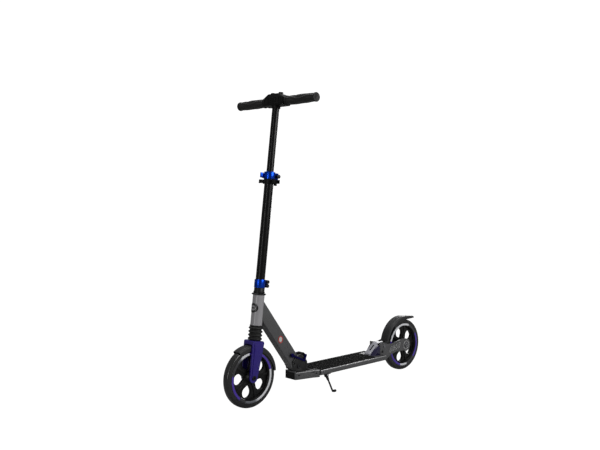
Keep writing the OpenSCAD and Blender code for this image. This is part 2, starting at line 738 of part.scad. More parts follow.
// A split collar on the stem with a pair of ears to the rear
module collar(h0, h1, r, ear_half, ear_end) {
    difference() {
        union() {
            translate([0, 0, h0]) cylinder(r = r, h = h1 - h0);
            translate([0, -ear_half, h0 + 1]) cube([ear_end, 2 * ear_half, h1 - h0 - 2]);
        }
        translate([0, 0, h0 - 1]) cylinder(r = stem_r, h = h1 - h0 + 2);
        translate([0, -0.8, h0 - 1]) cube([ear_end + 1, 1.6, h1 - h0 + 2]);
    }
}
module lower_clamp() {
    h1 = stem_h0 + lower_clamp_h;
    color(blue) steering() difference() {
        collar(stem_h0, h1, clamp_r - 1, 8, stem_r + 14);
        for (h = [stem_h0 + 7, h1 - 7]) rod_y(2.5, -30, 30, stem_r + 8, h);
    }
}
clip_h1 = stem_h1 - upper_clamp_h;
lever_h = stem_h1 - upper_clamp_h / 2;      // middle of the quick-release lever
pin_y = 17.5;
module upper_clamp() {
    color(blue) steering() difference() {
        collar(clip_h1, stem_h1, clamp_r, 9, ear_x + 6);
        rod_y(3, -30, 30, ear_x, lever_h);
    }
}
module clamp_bolts() {
    color(black) steering() {
        for (h = [stem_h0 + 7, stem_h0 + lower_clamp_h - 7]) union() {
            rod_y(2.5, -14, 12, stem_r + 8, h);
            rod_y(6.2, -15, -8, stem_r + 8, h);
            rod_y(4.6, 8, 12, stem_r + 8, h);
        }
        difference() {
            union() {
                rod_y(3, -18, pin_y - 5, ear_x, lever_h);
                rod_y(6.8, -20, -9, ear_x, lever_h);
                translate([ear_x, pin_y, lever_h - 3.2]) cylinder(r = 5.5, h = 6.4);
            }
            translate([ear_x, pin_y, lever_h - 9]) cylinder(r = 3, h = 18);
        }
        translate([ear_x, pin_y, lever_h - 10]) cylinder(r = 3, h = 20);
    }
}
// The lever wraps round the rider's right of the collar to the front
module clamp_lever() {
    r0 = clamp_r + 1.2;
    r1 = r0 + 3.6;
    h = 18;
    outline = concat([[ear_x, pin_y + 7.5]], arc(0, 0, r1 + 1.5, 50, 150, 24), [[-r1 - 4.5, 17], [-r1 - 4, 14]],
        arc(0, 0, r0, 150, 52, 24), [[ear_x - 5, pin_y - 3]]);
    color(blue) steering() translate([0, 0, lever_h - h / 2]) difference() {
        union() {
            linear_extrude(h) polygon(outline);
            translate([ear_x, pin_y, 0]) cylinder(r = 7.5, h = h);
        }
        translate([ear_x, pin_y, -1]) cylinder(r = 3 + run, h = h + 2);
        translate([ear_x - 10, pin_y - 10, h / 2 - 3.6]) cube([20, 19, 7.2]);
    }
}

clip_y = stem_r + 18.1;
module grip_clip() {
    h0 = clip_h1 - clip_h;
    color(black) steering() translate([0, 0, h0]) difference() {
        union() {
            cylinder(r = stem_r + 3, h = clip_h);
            both() translate([0, clip_y, 1]) cylinder(r = bar_r + 3, h = clip_h - 2);
            translate([-5, -clip_y + bar_r + 1, 1]) cube([10, 2 * (clip_y - bar_r - 1), clip_h - 2]);
            translate([8, -22, -6]) cube([9, 6, 12]);
        }
        translate([0, 0, -8]) cylinder(r = stem_r, h = clip_h + 10);
        both() translate([0, clip_y, -8]) cylinder(r = bar_r + 0.2, h = clip_h + 10);
        both() translate([-9.5, clip_y + 2, -8]) cube([19, 30, clip_h + 10]);
        translate([0, -19, -2]) rotate([0, 90, 0]) cylinder(r = 1.6, h = 30);
    }
}

// ---- Handlebar ----

block_top = 26;     // top of the T-block over the bar's axis
block_low = 15;     // its underside below the bar's axis
button_y = 20;
bar_in = 14;        // inner end of each bar half
module upper_stem_tube() {
    color(black) steering() tube(upper_r, upper_r - 1.6, stem_h1 - insertion, bar_h + bar_r + 3);
}
module t_block() {
    half = [[54, -block_low], [54, 11], [28, block_top], [0, block_top]];
    color(black) steering() translate([0, 0, bar_h]) difference() {
        union() {
            translate([17, 0, 0]) rotate([90, 0, -90]) linear_extrude(34)
                polygon(concat(half, [for (i = [2:-1:0]) [-half[i][0], half[i][1]]]));
            both() rod_y(bar_r + 5.5, 50, 56);
            translate([0, 0, -block_low - 8]) cylinder(r = upper_r + 3, h = 10);
        }
        translate([0, 0, -60]) cylinder(r = upper_r, h = 60 + bar_r + 3);
        both() rod_y(bar_r + run, bar_in - 0.5, 60);
        both() translate([0, button_y, 0]) cylinder(r = 5, h = 60);
        for (h = [-4, 3, 10]) translate([-18, -16, h]) cube([2.2, 32, 3]);
        both() translate([-60, 0, 0]) rotate([90, 0, 90]) linear_extrude(120)
            polygon([[57, 13], [31, block_top + 2], [60, block_top + 2]]);
    }
}
module button(side_sign) {
    color(black) steering() translate([0, side_sign * button_y, bar_h]) union() {
        translate([0, 0, bar_r + 3.6]) cylinder(r = 5 - run, h = block_top - bar_r - 3.6);
        translate([0, 0, block_top - 0.5]) cylinder(r = 5 - run, h = 4);
    }
}
module bar(s) {
    color(silver) steering() translate([0, 0, bar_h])
        ring_y(bar_r, bar_r - 1.8, s > 0 ? bar_in : -bar_half + 2.5, s > 0 ? bar_half - 2.5 : -bar_in);
}
module grip(s) {
    l = bar_half - grip_inner;
    body = [for (i = [0:10]) let (t = i / 10) [grip_r - 1.5 * pow(2 * t - 0.9, 2), 6 + (l - 13) * t]];
    color(black) steering() translate([0, s * grip_inner, bar_h]) rotate([s > 0 ? -90 : 90, 0, 0])
        rotate_extrude() polygon(concat([[bar_r, 0], [grip_r + 2.2, 0], [grip_r + 2.2, 4]], body,
            [[grip_r + 0.5, l - 5], [grip_r + 0.5, l - 1], [grip_r - 1, l], [0, l], [0, l - 2.5],
             [bar_r, l - 2.5]]));
}
module grip_left() { grip(-1); }
module grip_right() { grip(1); }
module bar_left() { bar(-1); }
module bar_right() { bar(1); }
module button_left() { button(-1); }
module button_right() { button(1); }

deck_extrusion();
grip_mat();
nose_base();
fold_plates();
fold_pivot_bolt();
deck_screws();
kickstand_bracket();
kickstand_bolt();
rear_arms();
rear_bridge();
rear_axle();
rear_axle_spacers();
wedge_cover();
wedge_panels();
brake_pivot_bolt();
brake_spring();
neck_tube();
neck_foot();
head_tube();
headset_cups();
headset_bearings();
badges();
release_lever();
lever_pin();
step_pad();
kickstand_leg();
kickstand_foot();
rear_fender();
brake_pad();
rear_tyre();
rear_hub();
rear_rim_bands();
rear_bearings();
steerer_tube();
headset_nut();
lower_stem_tube();
lower_clamp();
clamp_bolts();
upper_clamp();
grip_clip();
telescope_bush();
bellows();
suspension_spring();
fork();
front_fender();
front_axle();
front_axle_spacers();
front_tyre();
front_hub();
front_rim_bands();
front_bearings();
upper_stem_tube();
t_block();
clamp_lever();
grip_left();
grip_right();
bar_left();
bar_right();
button_left();
button_right();
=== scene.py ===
"""A folding kick scooter: the looks around its CAD frame. Metres, +Z up, -X forward, +Y the rider's right."""

import json
import math
from math import cos, pi, radians, sin

import bmesh
import bpy
from mathutils import Matrix, Vector


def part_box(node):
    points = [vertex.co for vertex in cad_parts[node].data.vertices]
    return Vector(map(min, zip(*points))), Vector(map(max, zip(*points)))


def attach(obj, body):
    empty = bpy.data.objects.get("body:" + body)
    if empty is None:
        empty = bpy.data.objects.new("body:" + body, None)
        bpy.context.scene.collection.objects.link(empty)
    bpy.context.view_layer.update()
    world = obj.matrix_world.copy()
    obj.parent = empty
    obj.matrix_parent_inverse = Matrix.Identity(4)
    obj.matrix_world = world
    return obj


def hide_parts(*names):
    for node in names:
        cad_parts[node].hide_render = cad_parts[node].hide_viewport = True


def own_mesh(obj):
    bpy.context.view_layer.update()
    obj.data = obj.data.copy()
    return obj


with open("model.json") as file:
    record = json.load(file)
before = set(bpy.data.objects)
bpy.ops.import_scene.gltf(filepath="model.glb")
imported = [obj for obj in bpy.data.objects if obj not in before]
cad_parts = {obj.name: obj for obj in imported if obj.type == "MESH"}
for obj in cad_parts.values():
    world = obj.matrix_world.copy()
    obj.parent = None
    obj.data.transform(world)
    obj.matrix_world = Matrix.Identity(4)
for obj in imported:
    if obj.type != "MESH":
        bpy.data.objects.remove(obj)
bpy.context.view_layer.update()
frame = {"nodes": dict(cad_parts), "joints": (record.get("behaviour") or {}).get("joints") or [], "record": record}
nodes = frame["nodes"]
MM = 0.001
AMBIENT = 0.22
FLOOR_GREY = 0.3


def joint(name):
    return next(j for j in frame["joints"] if j["name"] == name)


# ---- Places read from the frame ----

FOLD = Vector(joint("neck_fold")["pos_m"])
STEER = Vector(joint("steering")["pos_m"])
AXIS = Vector(joint("steering")["axis"]).normalized()
LEAN = math.atan2(AXIS.x, AXIS.z)
FRONT = Vector(joint("front_wheel_spin")["pos_m"])
REAR = Vector(joint("rear_wheel_spin")["pos_m"])
STEERING = Matrix.Translation(STEER) @ Matrix.Rotation(LEAN, 4, "Y")
TO_STEERING = STEERING.inverted()
BRAKE = Vector(joint("rear_brake_press")["pos_m"])
LEAN_DEG = math.degrees(LEAN)
MILLI = Matrix.Scale(MM, 4)
IN_STEERING = STEERING @ MILLI
TO_Y = Matrix.Rotation(radians(-90), 4, "X")
BODIES = {node: body for body, members in frame["record"]["behaviour"]["bodies"].items() for node in members}
SLOTS = {part["node"]: part["material_slot"] for part in frame["record"]["subparts"]}


def steering_span(node):
    """Lowest and highest place of a node along the steering axis, from its origin, in millimetres."""
    heights = [(TO_STEERING @ v.co).z / MM for v in nodes[node].data.vertices]
    return min(heights), max(heights)


def half_size(node, letter):
    """Half of a node's size along X, Y or Z, in millimetres."""
    low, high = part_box(node)
    i = "xyz".index(letter)
    return (high[i] - low[i]) / 2 / MM


def corners_mm(node):
    """A node's lowest and highest corner, in millimetres."""
    return (Vector(corner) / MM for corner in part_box(node))


def centred_on(place):
    """From a drawing in millimetres about its own origin to a place on the scooter."""
    return Matrix.Translation(place) @ MILLI


BAR_H = sum(steering_span("bar_right")) / 2
REAR_X, REAR_Z = REAR.x / MM, REAR.z / MM
BRAKE_X, BRAKE_Z = BRAKE.x / MM, BRAKE.z / MM


# ---- Camera, light and floor ----

def add_camera():
    data = bpy.data.cameras.new("camera")
    data.sensor_width = 36
    data.lens = 45.27
    data.shift_x = -0.0433
    data.shift_y = -0.0538
    data.clip_end = 100
    cam = bpy.data.objects.new("camera", data)
    cam.location = (-1.9935, -1.9868, 0.7217)
    cam.rotation_euler = (radians(90), 0, radians(45.4 - 90))
    bpy.context.scene.collection.objects.link(cam)
    bpy.context.scene.camera = cam


def add_light(name, place, aim, size, power):
    data = bpy.data.lights.new(name, "AREA")
    data.shape = "RECTANGLE"
    data.size, data.size_y = size
    data.energy = power
    lamp = bpy.data.objects.new(name, data)
    lamp.location = place
    lamp.rotation_euler = (Vector(aim) - Vector(place)).to_track_quat("-Z", "Y").to_euler()
    bpy.context.scene.collection.objects.link(lamp)


def softer_than_seen(tree, light, seen, strength):
    """Mixes a dim shader for the light it gives with a bright one for how the camera sees it."""
    dim = tree.nodes.new(light)
    dim.inputs["Color"].default_value = (strength, strength, strength, 1)
    bright = tree.nodes.new(seen)
    bright.inputs["Color"].default_value = (1, 1, 1, 1)
    bright.inputs["Strength"].default_value = 1.08
    ray = tree.nodes.new("ShaderNodeLightPath")
    mix = tree.nodes.new("ShaderNodeMixShader")
    tree.links.new(ray.outputs["Is Camera Ray"], mix.inputs[0])
    tree.links.new(dim.outputs[0], mix.inputs[1])
    tree.links.new(bright.outputs[0], mix.inputs[2])
    return mix.outputs[0]


def add_floor():
    """A plain pale floor: a white sheet with a faint soft shadow on it."""
    mesh = bpy.data.meshes.new("floor")
    s = 30
    mesh.from_pydata([(-s, -s, 0), (s, -s, 0), (s, s, 0), (-s, s, 0)], [], [(0, 1, 2, 3)])
    floor = bpy.data.objects.new("floor", mesh)
    bpy.context.scene.collection.objects.link(floor)
    shade = Shade("floor_white")
    tree = shade.tree
    white = softer_than_seen(tree, "ShaderNodeBsdfDiffuse", "ShaderNodeEmission", FLOOR_GREY)
    shadow = tree.nodes.new("ShaderNodeBsdfDiffuse")
    shadow.inputs["Color"].default_value = (0.9, 0.9, 0.9, 1)
    mix = tree.nodes.new("ShaderNodeMixShader")
    mix.inputs[0].default_value = 0.05
    tree.links.new(white, mix.inputs[1])
    tree.links.new(shadow.outputs[0], mix.inputs[2])
    tree.links.new(mix.outputs[0], tree.nodes["Material Output"].inputs["Surface"])
    floor.data.materials.append(shade.material)


def add_world():
    """A white backdrop that lights the object more softly than it looks."""
    world = bpy.data.worlds.new("studio")
    world.use_nodes = True
    tree = world.node_tree
    surface = softer_than_seen(tree, "ShaderNodeBackground", "ShaderNodeBackground", AMBIENT)
    tree.links.new(surface, tree.nodes["World Output"].inputs["Surface"])
    bpy.context.scene.world = world
    bpy.context.scene.view_settings.view_transform = "Standard"


# ---- Shader tools ----

class Value:
    """A socket of a shader tree, on which arithmetic adds Math nodes."""

    def __init__(self, shade, socket):
        self.shade = shade
        self.socket = socket

    def math(self, kind, *others):
        return self.shade.node("ShaderNodeMath", {"operation": kind}, [self, *others])

    def __add__(self, other):
        return self.math("ADD", other)

    def __radd__(self, other):
        return self.math("ADD", other)

    def __mul__(self, other):
        return self.math("MULTIPLY", other)

    def __rmul__(self, other):
        return self.math("MULTIPLY", other)

    def __sub__(self, other):
        return self.math("SUBTRACT", other)

    def __truediv__(self, other):
        return self.math("DIVIDE", other)

    def __rsub__(self, other):
        return self.shade.node("ShaderNodeMath", {"operation": "SUBTRACT"}, [other, self])

    def step(self, low, high):
        """0 below low, 1 above high, smooth between."""
        settings = {"interpolation_type": "SMOOTHSTEP"}
        return self.shade.node("ShaderNodeMapRange", settings,
                               {"Value": self, "From Min": low, "From Max": high})


class Shade:
    """One material's shader tree."""

    def __init__(self, name):
        self.material = bpy.data.materials.new(name)
        self.material.use_nodes = True
        self.tree = self.material.node_tree
        self.surface = self.tree.nodes["Principled BSDF"]

    def node(self, kind, settings=None, sockets=None, out=0):
        made = self.tree.nodes.new(kind)
        for key, setting in (settings or {}).items():
            if key == "stops":
                self.set_stops(made.color_ramp, setting)
            else:
                setattr(made, key, setting)
        pairs = sockets.items() if isinstance(sockets, dict) else enumerate(sockets or [])
        for key, given in pairs:
            self.feed(made.inputs[key], given)
        return Value(self, made.outputs[out])

    def set_stops(self, ramp, stops):
        while len(ramp.elements) < len(stops):
            ramp.elements.new(0.5)
        for element, (place, colour) in zip(ramp.elements, stops):
            element.position = place
            element.color = colour if len(colour) == 4 else (*colour, 1)

    def feed(self, socket, given):
        if isinstance(given, Value):
            self.tree.links.new(given.socket, socket)
        else:
            socket.default_value = given

    def place(self):
        return self.node("ShaderNodeTexCoord", out=3)

    def axis(self, place, letter):
        return self.node("ShaderNodeSeparateXYZ", sockets=[place], out="XYZ".index(letter))

    def noise(self, place, scale, detail=3, roughness=0.5):
        return self.node("ShaderNodeTexNoise", sockets={"Vector": place, "Scale": scale,
                                                        "Detail": detail, "Roughness": roughness})

    def stretched(self, place, scale):
        return self.node("ShaderNodeMapping", sockets={"Vector": place, "Scale": scale})

    def mix(self, fac, a, b):
        return self.node("ShaderNodeMix", {"data_type": "RGBA"}, {0: fac, 6: a, 7: b}, out=2)

    def ramp(self, fac, stops):
        return self.node("ShaderNodeValToRGB", {"stops": stops}, [fac])

    def bump(self, height, strength, distance):
        return self.node("ShaderNodeBump", sockets={"Strength": strength, "Distance": distance,
                                                    "Height": height})

    def finish(self, base, roughness, metallic=0.0, normal=None, **more):
        sockets = {"Base Color": base, "Roughness": roughness, "Metallic": metallic, **more}
        if normal:
            sockets["Normal"] = normal
        for key, given in sockets.items():
            self.feed(self.surface.inputs[key], given)
        return self.material


def rgb(r, g, b):
    return (r, g, b, 1)


def shifted(colour, by):
    return tuple(min(1, c * by) for c in colour[:3]) + (1,)


# ---- Materials ----

def painted(name, colour, roughness, coat=0.0, grain=0.0002, flake=0.0, specular=0.5):
    """Coated metal: a fine orange peel, slight tone changes, and rubbed patches that shine more."""
    s = Shade(name)
    p = s.place()
    tone = s.noise(p, 18, 4)
    peel = s.noise(p, 900, 2)
    rub = s.noise(p, 60, 6, 0.7).step(0.55, 0.75)
    base = s.mix(tone, shifted(colour, 0.88), shifted(colour, 1.12))
    if flake:
        base = s.mix(s.noise(p, 4000, 1).step(0.55, 0.7) * flake, base, rgb(0.8, 0.8, 0.85))
    return s.finish(base, roughness + tone * 0.06 - rub * 0.05, normal=s.bump(peel, 0.25, grain),
                    **{"Coat Weight": coat, "Coat Roughness": 0.12, "Specular IOR Level": specular})


def metal(name, colour, roughness, brush=(600, 600, 40), metallic=1.0):
    """Bare or anodised metal with drawn or turned lines and a few duller smears."""
    s = Shade(name)
    p = s.place()
    lines = s.noise(s.stretched(p, brush), 1, 3, 0.6)
    smear = s.noise(p, 35, 4)
    base = s.mix(smear, shifted(colour, 0.8), shifted(colour, 1.15))
    return s.finish(base, roughness + lines * 0.12 + smear.step(0.5, 0.8) * 0.1, metallic,
                    s.bump(lines, 0.15, 0.00008))


def moulded(name, colour, roughness, grain=700, depth=0.00012, scuff=0.5, specular=0.35):
    """Moulded plastic or rubber: a leather-like grain, with paler scuffs here and there."""
    s = Shade(name)
    p = s.place()
    pebble = s.node("ShaderNodeTexVoronoi", {"feature": "SMOOTH_F1"}, {"Vector": p, "Scale": grain})
    cloud = s.noise(p, 25, 5)
    wear = s.noise(p, 220, 6, 0.75).step(0.62, 0.8) * scuff
    base = s.mix(cloud, shifted(colour, 0.8), shifted(colour, 1.25))
    base = s.mix(wear * 0.3, base, shifted(colour, 3.0))
    return s.finish(base, roughness + wear * 0.1 + cloud * 0.06, normal=s.bump(pebble, 0.5, depth),
                    **{"Specular IOR Level": specular})


def cast_tyre(name):
    """Smooth cast polyurethane in smoke grey, duller and dusty where it rolls."""
    s = Shade(name)
    p = s.place()
    tread = s.axis(p, "Y").math("ABSOLUTE").step(0.009, 0.013)
    cloud = s.noise(p, 30, 5)
    dust = s.noise(p, 140, 6, 0.7)
    base = s.mix(cloud, rgb(0.007, 0.007, 0.0075), rgb(0.013, 0.013, 0.014))
    base = s.mix((1 - tread) * dust * 0.4, base, rgb(0.04, 0.039, 0.038))
    return s.finish(base, 0.36 - tread * 0.16 + dust * 0.08, normal=s.bump(dust, 0.2, 0.0002),
                    **{"Coat Weight": 0.25 + tread * 0.5, "Coat Roughness": 0.1, "Specular IOR Level": 0.4})


def banded(name, centre, stops):
    """The band of a wheel: violet, white, grey and dark stretches that follow each other round it. The violet and
    white are print, the grey and dark stretches are painted shade, and part of the white is a painted highlight.
    """
    s = Shade(name)
    p = s.place()
    round_x = s.axis(p, "X") - centre.x
    round_z = s.axis(p, "Z") - centre.z
    share = (round_z.math("ARCTAN2", round_x) / (2 * pi)).math("FRACT")
    band_colour_with_painted_light = s.ramp(share, [(angle / 360, colour) for angle, colour in stops])
    speck = s.noise(p, 260, 4, 0.7)
    base = s.mix(speck * 0.16, band_colour_with_painted_light, rgb(0.02, 0.02, 0.02))
    return s.finish(base, 0.3 + speck * 0.12, normal=s.bump(speck, 0.1, 0.0001),
                    **{"Coat Weight": 0.5, "Coat Roughness": 0.1})


# Wheel band colours round each wheel: violet and white print, grey and dark stretches of painted shade, and white
# that is partly a painted highlight.
VIOLET = (0.075, 0.03, 0.42)
WHITE = (0.82, 0.83, 0.86)
SMOKE = (0.16, 0.17, 0.19)
DARK = (0.03, 0.03, 0.035)
FRONT_BAND = [(0, WHITE), (11, WHITE), (12.5, VIOLET), (97, VIOLET), (98.5, WHITE), (121, WHITE),
              (126, SMOKE), (136, DARK), (168, DARK), (170, VIOLET), (228, VIOLET), (231, DARK),
              (248, DARK), (252, SMOKE), (280, SMOKE), (290, WHITE), (360, WHITE)]
REAR_BAND = [(0, VIOLET), (26, VIOLET), (29, DARK), (65, DARK), (69, WHITE), (163, WHITE), (165, VIOLET),
             (253, VIOLET), (254.5, WHITE), (280, WHITE), (284, DARK), (315, DARK), (318, VIOLET),
             (360, VIOLET)]

FINISHES = {
    "deck_paint": painted("anthracite_powder_coat", rgb(0.07, 0.07, 0.072), 0.44, 0.06, flake=0.12),
    # A pale finish for painted highlights: strips laid along edges where they catch the light.
    "deck_paint/edge": metal("bright_cut_edge", rgb(0.85, 0.85, 0.86), 0.32),
    "head_tube_paint": painted("silver_grey_paint", rgb(0.34, 0.33, 0.345), 0.3, 0.5, flake=0.3),
    "fork_paint": painted("violet_paint", rgb(0.024, 0.011, 0.2), 0.26, 0.3, specular=0.35),
    "black_tube": painted("black_stem_coat", rgb(0.0035, 0.0035, 0.004), 0.24, specular=0.22),
    "anodised_blue": metal("blue_anodised", rgb(0.008, 0.06, 0.55), 0.2),
    "anodised_blue/lever": metal("violet_anodised", rgb(0.012, 0.01, 0.11), 0.26),
    "bare_steel": metal("zinc_plate", rgb(0.32, 0.32, 0.34), 0.3),
    "bare_steel/dark": metal("dull_zinc_plate", rgb(0.06, 0.06, 0.065), 0.36),
    "spring_steel": metal("spring_wire", rgb(0.3, 0.3, 0.32), 0.3),
    "black_steel": painted("black_oxide", rgb(0.005, 0.005, 0.0055), 0.38, specular=0.3),
    "black_plastic": moulded("black_plastic", rgb(0.004, 0.004, 0.0042), 0.42, specular=0.2),
    "fender_plastic": moulded("fender_plastic", rgb(0.022, 0.022, 0.023), 0.42, 500, 0.0002),
    "hub_plastic": moulded("hub_plastic", rgb(0.005, 0.005, 0.0052), 0.34, 900, 0.00005, specular=0.3),
    "band_print": painted("band_print", rgb(0.08, 0.04, 0.5), 0.35, 0.3),
    "band_print/front": banded("front_band_print", FRONT, FRONT_BAND),
    "band_print/rear": banded("rear_band_print", REAR, REAR_BAND),
    "tyre_pu": cast_tyre("smoke_polyurethane"),
    "grip_rubber": moulded("grip_rubber", rgb(0.016, 0.016, 0.0155), 0.5),
    "mat_grit": moulded("mat_rubber", rgb(0.009, 0.009, 0.009), 0.72, specular=0.15),
    "plate_steel": painted("black_plate_coat", rgb(0.012, 0.012, 0.0125), 0.34),
    "wedge_silver": painted("silver_wedge", rgb(0.36, 0.36, 0.4), 0.26, 0.35, flake=0.2),
    "wedge_purple": painted("violet_wedge", rgb(0.01, 0.007, 0.04), 0.24, 0.4),
    "badge_print": painted("badge_print", rgb(0.6, 0.6, 0.58), 0.35),
    "badge_print/red": painted("badge_red", rgb(0.5, 0.03, 0.02), 0.35),
    "badge_print/black": painted("badge_black", rgb(0.006, 0.006, 0.006), 0.3, 0.4),
}


def dress_frame():
    """Gives every CAD node the finish of its record slot."""
    for name, ob in nodes.items():
        ob.data.materials.clear()
        ob.data.materials.append(FINISHES[SLOTS[name]])


# ---- Mesh tools ----

def turned(x, z, r, start, stop, n):
    """Points on an arc about (x, z), from start to stop in degrees."""
    angles = [radians(start + (stop - start) * i / n) for i in range(n + 1)]
    return [(x + r * cos(a), z + r * sin(a)) for a in angles]


def circle(r, x=0, z=0, n=24):
    return turned(x, z, r, 0, 360 - 360 / n, n - 1)


def rectangle(x0, x1, z0, z1):
    return [(x0, z0), (x1, z0), (x1, z1), (x0, z1)]


def passing(mesh):
    """A passing object that carries modifiers over a mesh."""
    ob = bpy.data.objects.new("passing", mesh)
    bpy.context.scene.collection.objects.link(ob)
    return ob


def evaluated(ob):
    """The mesh that a passing object's modifiers give; the object goes."""
    mesh = bpy.data.meshes.new_from_object(ob.evaluated_get(bpy.context.evaluated_depsgraph_get()))
    bpy.data.objects.remove(ob)
    return mesh


def bevelled(mesh, width, segments=2, angle=30):
    ob = passing(mesh)
    mod = ob.modifiers.new("edges", "BEVEL")
    mod.width = width
    mod.segments = segments
    mod.limit_method = "ANGLE"
    mod.angle_limit = radians(angle)
    return evaluated(ob)


def from_bmesh(bm):
    mesh = bpy.data.meshes.new("part")
    bm.to_mesh(mesh)
    bm.free()
    return mesh


def plate(outline, y0, y1, holes=(), bevel=0.0, segments=2):
    """An outline in X and Z, with holes, made solid from y0 to y1, with bevelled edges."""
    bm = bmesh.new()
    edges = []
    for loop in (outline, *holes):
        ring = [bm.verts.new((x, y0, z)) for x, z in loop]
        edges += [bm.edges.new(pair) for pair in zip(ring, ring[1:] + ring[:1])]
    bmesh.ops.triangle_fill(bm, use_beauty=True, edges=edges)
    made = bmesh.ops.extrude_face_region(bm, geom=bm.faces[:])
    far = [v for v in made["geom"] if isinstance(v, bmesh.types.BMVert)]
    bmesh.ops.translate(bm, verts=far, vec=(0, y1 - y0, 0))
    bmesh.ops.recalc_face_normals(bm, faces=bm.faces)
    mesh = from_bmesh(bm)
    return bevelled(mesh, bevel, segments) if bevel else mesh


def lathe(profile, segments=96):
    """A closed profile of (radius, height) points turned round Z."""
    bm = bmesh.new()
    angles = [2 * pi * i / segments for i in range(segments)]
    rings = []
    for r, h in profile:
        if r < 1e-6:
            rings.append([bm.verts.new((0, 0, h))] * segments)
        else:
            rings.append([bm.verts.new((r * cos(a), r * sin(a), h)) for a in angles])
    for low, high in zip(rings, rings[1:] + rings[:1]):
        for i in range(segments):
            j = (i + 1) % segments
            corners = list(dict.fromkeys([low[i], low[j], high[j], high[i]]))
            if len(corners) > 2:
                bm.faces.new(corners)
    bmesh.ops.recalc_face_normals(bm, faces=bm.faces)
    return from_bmesh(bm)


def grid_solid(rings, ends=True):
    """A closed skin over rings of points; each ring is a closed loop, and the ends are capped."""
    bm = bmesh.new()
    rows = [[bm.verts.new(p) for p in ring] for ring in rings]
    for low, high in zip(rows, rows[1:]):
        for i in range(len(low)):
            j = (i + 1) % len(low)
            bm.faces.new([low[i], low[j], high[j], high[i]])
    if ends:
        bm.faces.new(rows[0][::-1])
        bm.faces.new(rows[-1])
    bmesh.ops.recalc_face_normals(bm, faces=bm.faces)
    return from_bmesh(bm)


def joined(*meshes):
    """Several meshes as one."""
    bm = bmesh.new()
    for mesh in meshes:
        bm.from_mesh(mesh)
    return from_bmesh(bm)


def moved(mesh, matrix):
    mesh.transform(matrix)
    return mesh


def mirrored(mesh):
    """A mesh and its image on the other side of the XZ plane."""
    other = mesh.copy()
    other.transform(Matrix.Scale(-1, 4, (0, 1, 0)))
    other.flip_normals()
    return joined(mesh, other)


def cad_copy(node):
    """A CAD node's mesh, merged into whole faces."""
    bm = bmesh.new()
    bm.from_mesh(nodes[node].data)
    bmesh.ops.remove_doubles(bm, verts=bm.verts, dist=1e-6)
    bmesh.ops.dissolve_limit(bm, angle_limit=radians(0.5), verts=bm.verts, edges=bm.edges)
    return from_bmesh(bm)


def add_repeat_tree():
    """Geometry Nodes: a shape repeated Count times, each a Step on and a Turn round Centre's Y axis."""
    tree = bpy.data.node_groups.new("repeat", "GeometryNodeTree")
    face = tree.interface
    wanted = (("Shape", "Object"), ("Count", "Int"), ("Step", "Vector"), ("Turn", "Float"),
              ("Centre", "Vector"), ("Material", "Material"))
    face.new_socket("Geometry", in_out="INPUT", socket_type="NodeSocketGeometry")
    for name, kind in wanted:
        face.new_socket(name, in_out="INPUT", socket_type="NodeSocket" + kind)
    face.new_socket("Geometry", in_out="OUTPUT", socket_type="NodeSocketGeometry")
    made = {}

    def node(name, kind, links, **settings):
        new = tree.nodes.new(kind)
        for key, setting in settings.items():
            setattr(new, key, setting)
        for key, source in links.items():
            tree.links.new(source, new.inputs[key])
        made[name] = new
        return new.outputs

    start = tree.nodes.new("NodeGroupInput").outputs
    shape = node("shape", "GeometryNodeObjectInfo", {"Object": start["Shape"]})
    back = node("back", "ShaderNodeVectorMath", {0: start["Centre"]}, operation="SCALE")
    made["back"].inputs["Scale"].default_value = -1
    centred = node("centred", "GeometryNodeTransform", {"Geometry": shape["Geometry"],
                                                       "Translation": back[0]})
    index = node("index", "GeometryNodeInputIndex", {})
    along = node("along", "ShaderNodeVectorMath", {0: start["Step"], "Scale": index[0]}, operation="SCALE")
    place = node("place", "ShaderNodeVectorMath", {0: along[0], 1: start["Centre"]}, operation="ADD")
    angle = node("angle", "ShaderNodeMath", {0: start["Turn"], 1: index[0]}, operation="MULTIPLY")
    turn = node("turn", "ShaderNodeCombineXYZ", {"Y": angle[0]})
    points = node("points", "GeometryNodePoints", {"Count": start["Count"], "Position": place[0]})
    copies = node("copies", "GeometryNodeInstanceOnPoints",
                  {"Points": points[0], "Instance": centred[0], "Rotation": turn[0]})
    real = node("real", "GeometryNodeRealizeInstances", {"Geometry": copies[0]})
    dressed = node("dressed", "GeometryNodeSetMaterial", {"Geometry": real[0],
                                                          "Material": start["Material"]})
    node("end", "NodeGroupOutput", {"Geometry": dressed[0]})
    return tree


REPEAT = add_repeat_tree()
TREE_INPUTS = {s.name: s.identifier for s in REPEAT.interface.items_tree if s.in_out == "INPUT"}


def repeated(shape, slot, count, step=(0, 0, 0), turn=0.0, centre=(0, 0, 0)):
    """A mesh repeated by the repeat tree, as one plain mesh."""
    base = passing(shape)
    ob = passing(bpy.data.meshes.new("rows"))
    mod = ob.modifiers.new("repeat", "NODES")
    mod.node_group = REPEAT
    given = {"Shape": base, "Count": count, "Step": step, "Turn": turn, "Centre": centre,
             "Material": FINISHES[slot]}
    for name, value in given.items():
        mod[TREE_INPUTS[name]] = value
    mesh = evaluated(ob)
    bpy.data.objects.remove(base)
    return mesh


def piece(name, mesh, slot, body, *stands_for, at=None, smooth=38):
    """A finished piece: put in place, cleaned, shaded, and riding on its body."""
    if at:
        mesh.transform(at)
    bm = bmesh.new()
    bm.from_mesh(mesh)
    bmesh.ops.remove_doubles(bm, verts=bm.verts, dist=1e-7)
    bmesh.ops.dissolve_degenerate(bm, dist=1e-7, edges=bm.edges)
    bm.to_mesh(mesh)
    bm.free()
    mesh.polygons.foreach_set("use_smooth", [True] * len(mesh.polygons))
    mesh.set_sharp_from_angle(angle=radians(smooth))
    mesh.materials.clear()
    mesh.materials.append(FINISHES[slot])
    ob = bpy.data.objects.new(name, mesh)
    bpy.context.scene.collection.objects.link(ob)
    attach(ob, body)
    if stands_for:
        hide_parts(*stands_for)
    return ob


